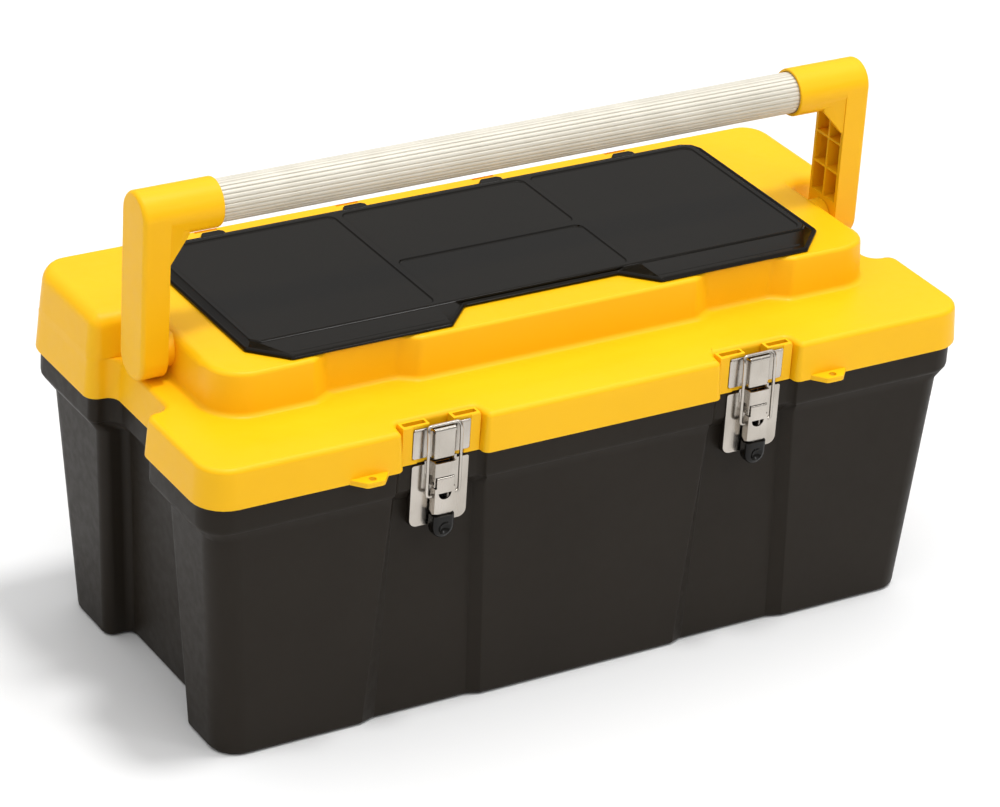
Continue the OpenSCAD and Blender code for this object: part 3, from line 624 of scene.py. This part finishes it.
def keeper_bosses():
    """Right latch: two hollow boxes beside the tongue, and a frame round the keeper's flanks."""
    low, top = SPLIT + 0.5, SHELF - 0.5
    blocks = together(*[box((LATCH_X + x0, SEAT_Y, low), (LATCH_X + x1, CHANNEL_BACK + 1.5, top), 0.7)
                        for x0, x1 in ((-30, -9), (9, 30))])
    frames = []
    edge = [(18, low), (18, low + 3.4), (22.3, low + 3.4), (22.3, top - 1.2),
            (23, top - 0.4), (29.4, top - 0.4), (30, top - 1.2), (30, low)]
    for side in (-1, 1):
        outline = [(LATCH_X + side * x, z) for x, z in edge]
        frames.append(prism(outline, "y", -(SEAT_Y + 0.5), -(SEAT_Y - 0.7), 0.25))
    pockets = together(*[box((LATCH_X + x0, SEAT_Y + 1.8, low + 6),
                             (LATCH_X + x1, CHANNEL_BACK - 1, top + 2), 0.8)
                         for x0, x1 in ((-28, -11), (11, 28))])
    return blocks, together(*frames), pockets


def padlock_eye():
    """The right padlock eye: a tapered lug with a round hole and softened edges."""
    tip = -HALF_DEPTH - 9.6
    outline = [(169.5, -HALF_DEPTH + 3), (169.5, -HALF_DEPTH), (177, tip + 0.6), (179, tip),
               (189, tip), (191, tip + 0.6), (199, -HALF_DEPTH), (199, -HALF_DEPTH + 3)]
    lug = prism(outline, "z", SPLIT, SPLIT + 4, 0.5)
    hole = pin("z", (PADLOCK_X, PADLOCK_Y, SPLIT), -1, 5, 2.75, 0, 24)
    return combined(lug, hole, "DIFFERENCE")


def wells():
    """The organiser's four compartments, with rounded floors."""
    low, high, edge, half = TOP - 25, TOP + 3, 2.0, 1.25
    wall_x, wall_y, front_y, rear_y = 80.75, 29, -38.5, 104.5
    side = box((wall_x + half, front_y, low), (219.5, rear_y, high), edge, 3)
    front = box((half - wall_x, front_y, low), (wall_x - half, wall_y - half, high), edge, 3)
    rear = box((half - wall_x, wall_y + half, low), (wall_x - half, rear_y, high), edge, 3)
    return together(both_sides(side), front, rear)


def tab_seats():
    """Blocks inside the lid's top that take the flap's tabs."""
    return [box((x - 11, 116.5, TOP - 7), (x + 11, 127, TOP - 1), 0.5) for x in TAB_PLACES]


def tab_cuts():
    """At each of the flap's tabs: its recess, the slit behind it and the bore for its pin."""
    cuts = []
    for x in TAB_PLACES:
        cuts += [box((x - 7.3, 118.7, 257), (x + 7.3, 124.8, TOP + 1), 0.3),
                 box((x - 9, 129.8, TOP - 2.6), (x + 9, 132.4, TOP + 1), 0.2),
                 pin("x", (x, *COVER_AXIS), -10, 10, 1.22, 0, 16)]
    return cuts


def make_lid():
    """The lid with its organiser, latch bosses, handle pivots, padlock eyes and knuckles."""
    block = box((-222, -41, TOP - 27), (222, 107, TOP - 1), 1.0)
    bosses, frames, pockets = keeper_bosses()
    collar = pin("x", (0, PIVOT_Y, PIVOT_Z), 251.4, ARM_IN - 0.3, 12, 0.6, 40)
    bore = pin("x", (0, PIVOT_Y, PIVOT_Z), 249.5, ARM_IN + 1, 8, 0, 40)
    knuckles = [knuckle(x, HALF_DEPTH - 1.5, HINGE_Z, SPLIT + 8) for x in HINGE_PLACES]
    hinge_bores = [pin("x", (x, HINGE_Y, HINGE_Z), -15, 15, 1.8, 0) for x in HINGE_PLACES]
    extras = together(both_sides(collar), both_sides(padlock_eye()), both_sides(bosses), *knuckles,
                      *tab_seats())
    cuts = together(wells(), both_sides(pockets), *tab_cuts(), both_sides(bore), *hinge_bores)
    shell = lid_shell()
    for extra in (block, extras, both_sides(frames)):
        shell = combined(shell, extra, "UNION")
    shell = combined(shell, cuts, "DIFFERENCE")
    piece("lid_shell", shell, YELLOW, "lid",
          ["lid", "organiser_bin", "padlock_eye_left", "padlock_eye_right"])


# ------------------------------------------------------------ organiser cover
def flap_ring(half, radii, least, g, z):
    """Ring of corners (x, y) that are inset by g already, with no radius under the least."""
    return ring([(x, y, max(r - 0.4 * g, least), z) for (x, y), r in zip(half, radii)])


def cover_ring(g, z):
    """The cover's outline, inset by g."""
    half = [(62 + 0.4 * g, -49 + g), (84 + 0.4 * g, -71 + g), (207 - 0.4 * g, -71 + g),
            (231 - g, -47 + 0.4 * g), (231 - g, 106 - 0.4 * g), (227.5 - g, 114.5 - g),
            (219 - 0.4 * g, 118 - g)]
    return flap_ring(half, (4, 4, 3, 3, 4, 3, 4), 0.8, g, z)


def field_ring(g, z):
    """The raised field that carries the sunk panels, inset by g."""
    half = [(68, -45.4 + g), (82, -45.5 + g), (219 - 0.4 * g, -45.5 + g),
            (224 - g, -40.5 + 0.4 * g), (224 - g, 105 - 0.4 * g), (222.5 - g, 110 - g),
            (217 - 0.4 * g, 112 - g)]
    return flap_ring(half, (1, 1, 3, 3, 3, 1.5, 1.5), 0.5, g, z)


def sunk_panel(low, high):
    """Cutter for one panel, with rounded corners and a soft step down to its floor."""
    (x0, y0), (x1, y1) = low, high
    floor = COVER_TOP - 1.15
    rings = []
    for g, z in ((1.3, floor), (0.7, floor + 0.04), (0.4, floor + 0.16), (-0.3, floor + 1.02),
                 (-0.6, COVER_TOP - 0.03), (-1.1, COVER_TOP + 0.02), (-1.1, COVER_TOP + 3)):
        outline = rounded_rectangle(x0 + g, x1 - g, y0 + g, y1 - g, 6 - g, 7)
        rings.append([(x, y, z) for x, y in outline])
    return loft(rings)


def make_cover():
    """The flap: a dished plate with four sunk panels and its hinge tabs."""
    base = COVER_BASE
    rings = [cover_ring(7, base + 2.6), cover_ring(5.5, base)]
    for g, rise in ((0.5, 0), (0, 0.5), (0, 1.6), (0.12, 1.9), (1.0, 2.99), (1.35, 3.2), (1.8, 3.25),
                    (2.2, 3.1), (2.5, 2.75), (2.75, 2.3), (3.1, 2.1)):
        rings.append(cover_ring(g, base + rise))
    rings += [field_ring(-0.5, COVER_TOP - 1.2), field_ring(0, COVER_TOP - 0.35),
              field_ring(0.4, COVER_TOP - 0.08), field_ring(1.0, COVER_TOP)]
    shell = loft(rings)
    panels = together(both_sides(sunk_panel((81, -42), (220, 108))),
                      sunk_panel((-75, -42), (75, 25.5)), sunk_panel((-75, 31.5), (75, 108)))
    shell = combined(shell, panels, "DIFFERENCE")
    tabs = []
    for x in TAB_PLACES:
        outline = [(x - 9, 113), (x + 9, 113), (x + 9, 120.5), (x + 6.5, 122.9), (x - 6.5, 122.9),
                   (x - 9, 120.5)]
        arm = prism(outline, "z", base, base + 3.1, 0.5)
        barrel = pin("x", (x, *COVER_AXIS), -7, 7, 2.4, 0.3)
        neck = box((x - 7, 121, 260), (x + 7, 123, base + 1), 0.1)
        tabs.append(combined(arm, together(barrel, neck), "UNION"))
    shell = combined(shell, together(*tabs), "UNION")
    piece("cover_flap", shell, COVER_BLACK, "cover", ["organiser_cover"])


# ------------------------------------------------------------ handle
def arm_plate():
    """The arm: a flat bar with round ends and a soft outer edge."""
    edge = 3.4
    levels = [(ARM_IN, 0.5), (ARM_IN + 0.15, 0.15), (ARM_IN + 0.5, 0.0)]
    for angle in (0, 18, 36, 54, 72, 90):
        across, up = cos_sin(angle)
        levels.append((ARM_OUT - edge + edge * up, edge * (1 - across)))
    rings = []
    for x, inset in levels:
        r = ARM_HALF - inset
        outline = circle(PIVOT_Y, PIVOT_Z, r, 25, 180, 180) + circle(PIVOT_Y, TUBE_Z, r, 25, 0, 180)
        rings.append([(x, y, z) for y, z in outline])
    return faced_out(loft(rings))


def arm_web():
    """The web that runs from the arm's front edge out to the socket's underside."""
    front = PIVOT_Y - ARM_HALF
    root = [(ARM_IN + 1, y, z) for y in (front + 0.6, front + 5) for z in (TUBE_Z - 34.5, TUBE_Z)]
    tip = [(ARM_IN - 16, y, z) for y in (front + 4.5, front + 8) for z in (TUBE_Z - 14, TUBE_Z - 8)]
    bm = bmesh.new()
    found = bmesh.ops.convex_hull(bm, input=[bm.verts.new(p) for p in root + tip])
    inside = [v for v in found["geom_interior"] if isinstance(v, bmesh.types.BMVert)]
    bmesh.ops.delete(bm, geom=inside, context="VERTS")
    return softened(bm, 0.5)


def arm_cells():
    """Pockets cored out of the arm's inner face, in two columns between the ribs."""
    low, high, rows, rib, skin = PIVOT_Z + 14.5, TUBE_Z - ARM_HALF - 1.5, 3, 1.6, 3
    pitch = (high - low) / rows
    cells = []
    for row in range(rows):
        for y0, y1 in ((PIVOT_Y - ARM_HALF + skin, PIVOT_Y - rib / 2),
                       (PIVOT_Y + rib / 2, PIVOT_Y + ARM_HALF - skin)):
            cells.append(box((ARM_IN - 1, y0, low + row * pitch + rib / 2),
                             (ARM_OUT - skin, y1, low + (row + 1) * pitch - rib / 2), 0.7))
    return together(*cells)


def make_arm(name, node, side):
    """One of the handle's arms, with its socket for the tube."""
    socket = pin("x", (0, PIVOT_Y, TUBE_Z), SOCKET_IN, ARM_IN + 4, ARM_HALF, 1.4, 64)
    arm = combined(arm_plate(), socket, "UNION")
    arm = combined(arm, arm_web(), "UNION")
    shaft = turned([(247.5, 7.2), (248.2, 7.9), (249.2, 7.9), (249.3, 6.8), (251.2, 6.8),
                    (251.3, 7.9), (ARM_IN + 1, 7.9)], "x", (0, PIVOT_Y, PIVOT_Z), 40)
    arm = combined(arm, shaft, "UNION")
    arm = combined(arm, arm_cells(), "DIFFERENCE")
    mouth = turned([(SOCKET_IN - 1, 16.0), (SOCKET_IN + 0.2, 15.6), (SOCKET_IN + 1, TUBE_R + 0.1),
                    (ARM_IN + 8, TUBE_R + 0.1)], "x", (0, PIVOT_Y, TUBE_Z), 48)
    arm = combined(arm, mouth, "DIFFERENCE")
    if side < 0:
        arm = mirrored(arm)
    piece(name, arm, YELLOW, "handle", [node], 38.0)


def flute_radius(angle, flutes):
    """Radius of the extruded tube: broad rounded ribs with narrow grooves between them."""
    phase = (angle * flutes / (2 * math.pi)) % 1.0
    crown = math.cos((phase - 0.5) * math.pi * 0.9)
    groove = max(0.0, 1 - min(phase, 1 - phase) / 0.12)
    return TUBE_R - 0.35 + 0.3 * crown - 0.55 * groove ** 0.8


def make_grip_tube():
    """The extruded tube between the arms."""
    flutes, per_flute = 28, 9
    count = flutes * per_flute
    angles = [2 * math.pi * i / count for i in range(count)]
    reach = ARM_IN + 7
    rings = []
    for x in (-reach, -reach + 0.5, -60, 60, reach - 0.5, reach):
        inset = 0.4 if abs(x) == reach else 0.0
        rings.append([(x, PIVOT_Y + (flute_radius(a, flutes) - inset) * math.cos(a),
                       TUBE_Z + (flute_radius(a, flutes) - inset) * math.sin(a)) for a in angles])
    piece("fluted_tube", faced_out(loft(rings)), ALUMINIUM, "handle", ["grip_tube"], 50.0)


# ------------------------------------------------------------ latches
# Latch meshes are made round x 0, from the seat's face at the split, and then moved.
def at_latch(bm, side):
    """The mesh, carried to the left or right latch."""
    return moved(bm, side * LATCH_X, SEAT_Y, SPLIT)


def sheet_outline(points, thickness):
    """A strip of sheet through points (x, y), thickened towards the left of its way."""
    path = [Vector(p) for p in points]
    inner = []
    for i, here in enumerate(path):
        before = (here - path[i - 1]).normalized() if i else None
        after = (path[i + 1] - here).normalized() if i < len(path) - 1 else None
        normals = [Vector((-d.y, d.x)) for d in (before, after) if d is not None]
        normal = sum(normals, Vector((0, 0))).normalized()
        stretch = 1 / max(normal.dot(normals[0]), 0.4)
        inner.append(here + normal * thickness * stretch)
    return [tuple(p) for p in path] + [tuple(p) for p in reversed(inner)]


def base_plate():
    """Base plate: flat wings, and a channel raised over its upper half."""
    half, low = 22.0, -48.0
    corners = circle(half - 6, low + 6, 6, 9, 270, 90)
    outline = corners + [(half, -2), (half - 1, -1), (1 - half, -1), (-half, -2)]
    outline += [(-x, z) for x, z in reversed(corners)]
    plate = prism(outline, "y", 0, 1.2, 0.3)
    foot = [(12.4, -1.1), (10.4, -1.5), (8.9, -2.9), (8.0, -5.2), (8.0, -8.2), (7.5, -9.0), (6.6, -9.2)]
    strip = foot + [(-x, y) for x, y in reversed(foot)]
    channel = prism(sheet_outline(strip, -1.15), "z", -8.9, 1.5, 0.3)
    ear = box((6.8, -8.1, -17), (8, -1, -8), 0.4)
    return combined(plate, together(channel, both_sides(ear)), "UNION")


def lever_sheet():
    """Lever: pressed sheet with flanks that flare at its end, and a rolled upper edge."""
    front, half, top, foot = -9.4, 7.9, -17.5, -36.6
    curve = [(x, -38.5 + 1.82 * (x / half) ** 2) for x in (-5.5, -3, 0, 3, 5.5)]
    outline = [(-half, top), (-half, foot), *curve, (half, foot), (half, top)]
    face = prism(outline, "y", -(front + 1.2), -front, 0.35)
    neck = box((-6.6, front, -18.5), (6.6, front + 1.2, -11), 0.2)
    roll = pin("x", (0, front + 1.6, -11), -6.6, 6.6, 1.6, 0.3, 20)
    flank_side = [(front, top), (front, foot), (-6.5, -38.0), (-2.6, -35.5), (-2.6, -20), (-4.0, top)]
    flank = prism(flank_side, "x", 6.7, half, 0.25)
    ear = prism(circle(-6.5, -14, 2.9, 20), "x", 5.4, 6.6, 0.2)
    arm = box((5.4, front + 0.3, -18.5), (6.6, -5.5, -14), 0.2)
    body = face
    for part in (neck, both_sides(flank), both_sides(arm), both_sides(ear), roll):
        body = combined(body, part, "UNION")
    half_moon = circle(0, -21.5, 5, 14, 180, 180)
    hole = prism(half_moon, "y", -(front + 3), -(front - 1), 0)
    return combined(body, hole, "DIFFERENCE")


def lever_grip():
    """Moulded grip on the lever: rounded end, crowned front and a thumb dimple."""
    rings = []
    for inset, y in ((1.0, -2.4), (0.3, -2.8), (0, -3.8), (0.1, -8.2), (0.6, -9.8), (1.6, -10.8),
                     (3.6, -11.4)):
        half = 8.4 - inset
        outline = [(half, -38.5), (half, -47.6)] + circle(0, -47.6, half, 15, 0, -180)[1:-1]
        outline += [(-half, -47.6), (-half, -38.5)]
        rings.append([(x, y, z) for x, z in outline])
    body = faced_out(loft(rings))
    dimple = turned([(-2, 0.5), (-1.7, 1.9), (-0.9, 3.4), (0.4, 4.8), (3, 6.6)], "y",
                    (0, -11.0, -47.6), 36)
    body = combined(body, dimple, "DIFFERENCE")
    plug = box((-6.7, -8.2, -39.5), (6.7, -2.6, -33), 0.4)
    return combined(body, plug, "UNION")


def bail_wire():
    """Bail: bent wire from the lever's flanks up over the keeper's tongue."""
    y, z, leg = -6.2, -23.8, 12.6
    half = [(6.5, y, z), (leg - 3, y, z), (leg - 1.6, y, z + 0.15), (leg - 0.7, y, z + 0.7),
            (leg - 0.15, y, z + 1.5), (leg, y, z + 3), (leg, -5.9, 0), (leg, -5.5, 18),
            (leg, -5.2, 22.6), (leg, -4.6, 25), (leg - 0.2, -4.1, 26.2), (leg - 0.7, -3.6, 27.1),
            (leg - 1.5, -3.3, 27.7), (leg - 2.6, -3.2, 27.9)]
    path = half + [(-x, a, b) for x, a, b in reversed(half)]
    return sweep(path, 1.2)


def keeper_sheet():
    """Keeper: flat flanks and a raised tongue whose top is folded back for the bail."""
    low, top, front = 4.0, 25.5, -6.3
    wing = prism([(9, low), (20.8, low), (22, low + 1.2), (22, top - 0.8), (21.2, top), (9, top)],
                 "y", 0.01, 1.2, 0.3)
    cap = pin("x", (0, -0.9, top + 0.2), 9.6, 21.6, 0.9, 0.3, 16)
    strip = [(10.4, -1.1), (9.0, -1.4), (8.2, -2.4), (8.0, -3.8), (8.0, -5.4), (7.5, -6.1), (6.6, -6.3)]
    full = strip + [(-x, y) for x, y in reversed(strip)]
    tongue = prism(sheet_outline(full, -1.1), "z", low, 23.6, 0.3)
    roll = [(front, 23.0), (front + 0.1, 24.6), (front + 0.7, 25.7), (front + 1.7, 26.3), (-2.2, 26.3),
            (-1.4, 26.0), (-1.2, 25.2), (-2.0, 24.9), (front + 1.9, 25.1), (front + 1.35, 24.6),
            (front + 1.2, 23.0)]
    fold = prism(roll, "x", -8, 8, 0.2)
    body = combined(tongue, both_sides(wing), "UNION")
    body = combined(body, fold, "UNION")
    return combined(body, both_sides(cap), "UNION")


def rivet_heads():
    """Two domed rivets that hold the base plate."""
    dome = [(-4.0, 1.55), (1.15, 1.55), (1.2, 3.0), (1.5, 2.95), (1.8, 2.5), (2.0, 1.6), (2.1, 0.5)]
    return together(*[turned(dome, "y", (0, 0, z), 24) for z in RIVETS])


def make_latches():
    """The pieces of both latches, each on its own body."""
    makers = (("latch_plate", "latch_base", base_plate, NICKEL, "tub", "latch_steel"),
              ("rivet_heads", "latch_rivets", rivet_heads, NICKEL, "tub", "latch_steel"),
              ("lever_sheet", "latch_lever", lever_sheet, NICKEL, "lever", "latch_steel"),
              ("lever_grip", "lever_tip", lever_grip, RUBBER, "lever", "black_plastic"),
              ("bail_wire", "latch_bail", bail_wire, NICKEL, "bail", "latch_steel"),
              ("keeper_sheet", "latch_keeper", keeper_sheet, NICKEL, "lid", "latch_steel"))
    for name, node, maker, material, body, slot in makers:
        shape = maker()
        for word, side in (("left", -1), ("right", 1)):
            ridden = f"{body}_{word}" if body in ("lever", "bail") else body
            piece(f"{name}_{word}", at_latch(shape.copy(), side), material, ridden,
                  [f"{node}_{word}"], 40.0)


# ------------------------------------------------------------ tray
def slab_ring(g, z):
    """The tray's rounded outline, inset by g."""
    outline = rounded_rectangle(-TRAY_HALF + g, TRAY_HALF - g, TRAY_FRONT + g, TRAY_REAR - g,
                                max(14 - g, 4), 9)
    return [(x, y, z) for x, y in outline]


def make_tray():
    """The tray with its long wall and rib pairs, and its two divider boards."""
    rings = [slab_ring(g, TRAY_BASE + z) for g, z in
             ((5, 0), (3.4, 0.4), (2.4, 1.4), (2, 3), (1.2, 48), (0.4, 50.4), (0, 51.2), (0, 54.2),
              (0.3, 54.8), (1, 55), (2.0, 54.8), (2.3, 54.2), (3.4, 48), (4.2, 5.5), (5.6, 3.2),
              (8, 2.4), (9, 2.3))]
    shell = loft(rings)
    wall = box((-TRAY_HALF + 2.5, -2, TRAY_BASE + 1), (TRAY_HALF - 2.5, 0, TRAY_BASE + 32), 0.6)
    ribs = []
    for x in (-121.1, -117.1, 117.1, 121.1):
        for y in (0.2, TRAY_REAR - 3.5):
            ribs.append(box((x - 0.9, y - 1, TRAY_BASE + 1), (x + 0.9, y + 2, TRAY_BASE + 32), 0.3))
    shell = combined(shell, wall, "UNION")
    shell = combined(shell, together(*ribs), "UNION")
    piece("tray_shell", shell, BLACK, "tray", ["tray"])
    for word, side in (("left", -1), ("right", 1)):
        x = side * 120
        board = box((x - 0.9, 0.3, TRAY_BASE + 2.5), (x + 0.9, TRAY_REAR - 2.6, TRAY_BASE + 30), 0.4)
        piece(f"divider_{word}", board, BLACK, "tray", [f"tray_divider_{word}"])


def make_tray_grip():
    """The bar that lifts the tray, on posts that sit over its wall."""
    z = TRAY_TOP - 7
    bar = turned([(-68, 5.2), (-67.4, 6.4), (-65.8, 7), (-50, 7), (-30, 6.2), (0, 5.8), (30, 6.2),
                  (50, 7), (65.8, 7), (67.4, 6.4), (68, 5.2)], "x", (0, -1, z), 28)
    post = prism([(54, TRAY_BASE + 6.2), (70, TRAY_BASE + 6.2), (68, z - 2), (67, z + 3), (57, z + 3),
                  (56, z - 2)], "y", -4, 6, 0.8)
    grip = combined(bar, both_sides(post), "UNION")
    slot = together(box((-69, -2.05, TRAY_BASE), (71, 0.05, TRAY_BASE + 32.1), 0),
                    box((-71, -2.05, TRAY_BASE), (-68, 0.05, TRAY_BASE + 32.1), 0))
    grip = combined(grip, slot, "DIFFERENCE")
    piece("tray_handle", grip, YELLOW, "tray", ["tray_grip"])


# ------------------------------------------------------------ stage
def make_floor():
    """A plain floor under the box."""
    material, shader = new_material("floor")
    tree = material.node_tree
    tint = mixed_colour(tree, noise(tree, 0.6, 2.0), (0.79, 0.79, 0.79), (0.81, 0.81, 0.81))
    tree.links.new(tint, shader.inputs["Base Color"])
    shader.inputs["Roughness"].default_value = 0.9
    bm = bmesh.new()
    bmesh.ops.create_grid(bm, x_segments=4, y_segments=4, size=FLOOR_HALF)
    mesh = mesh_from(bm, "floor")
    bm.free()
    mesh.materials.append(material)
    floor = new_object("floor", mesh)
    floor.location.z = CAD_LOW.z - FLOOR_GAP


def facing(way):
    """The turn that points a light along the way."""
    return Vector(way).to_track_quat("-Z", "Y").to_euler()


def make_world():
    """Surroundings that are darker low down and bright overhead."""
    world = bpy.data.worlds.new("studio")
    world.use_nodes = True
    tree = world.node_tree
    background = tree.nodes["Background"]
    background.inputs["Color"].default_value = (1, 1, 1, 1)
    place = tree.nodes.new("ShaderNodeTexCoord")
    split = tree.nodes.new("ShaderNodeSeparateXYZ")
    tree.links.new(place.outputs["Generated"], split.inputs["Vector"])
    brightness = spread(tree, split.outputs["Z"], SKY_LOW, SKY_HIGH, SKY_FROM, SKY_TO)
    tree.links.new(brightness, background.inputs["Strength"])
    bpy.context.scene.world = world


def make_lights():
    """A soft sun from above, and a small lamp at the front right."""
    light = bpy.data.lights.new("key", "SUN")
    light.energy = KEY_POWER
    light.angle = math.radians(KEY_WIDTH)
    new_object("key", light).rotation_euler = facing(KEY_WAY)
    light = bpy.data.lights.new("fill", "AREA")
    light.shape = "RECTANGLE"
    light.size, light.size_y = FILL_SIZE
    light.energy = FILL_POWER
    fill = new_object("fill", light)
    fill.location = FILL_PLACE
    fill.rotation_euler = facing(Vector(FILL_AIM) - Vector(FILL_PLACE))


def make_camera():
    """The camera that sees the box as in the picture it is built from."""
    yaw, pitch, roll = (math.radians(a) for a in CAMERA_TURNS)
    ahead = Vector((math.sin(yaw) * math.cos(pitch), math.cos(yaw) * math.cos(pitch), -math.sin(pitch)))
    right = Vector((math.cos(yaw), -math.sin(yaw), 0))
    up = right.cross(ahead)
    across = math.cos(roll) * right + math.sin(roll) * up
    upward = -math.sin(roll) * right + math.cos(roll) * up
    camera = bpy.data.cameras.new("camera")
    camera.sensor_fit = "HORIZONTAL"
    camera.sensor_width = 36
    camera.lens = CAMERA_LENS
    camera.clip_start, camera.clip_end = 0.1, 60
    obj = new_object("camera", camera)
    turn = Matrix((across, upward, -ahead)).transposed().to_4x4()
    obj.matrix_world = Matrix.Translation(CAMERA_PLACE) @ turn
    bpy.context.scene.camera = obj


def main():
    bpy.context.scene.view_settings.view_transform = "Standard"
    make_tub()
    make_lid()
    make_cover()
    make_arm("arm_left", "handle_arm_left", -1)
    make_arm("arm_right", "handle_arm_right", 1)
    make_grip_tube()
    make_latches()
    make_tray()
    make_tray_grip()
    for name in ("hinge_pin_left", "hinge_pin_right", "cover_pins", "handle_clip_left",
                 "handle_clip_right", "latch_pin_left", "latch_pin_right"):
        finish_node(name, PIN_STEEL)
    make_floor()
    make_world()
    make_lights()
    make_camera()


main()
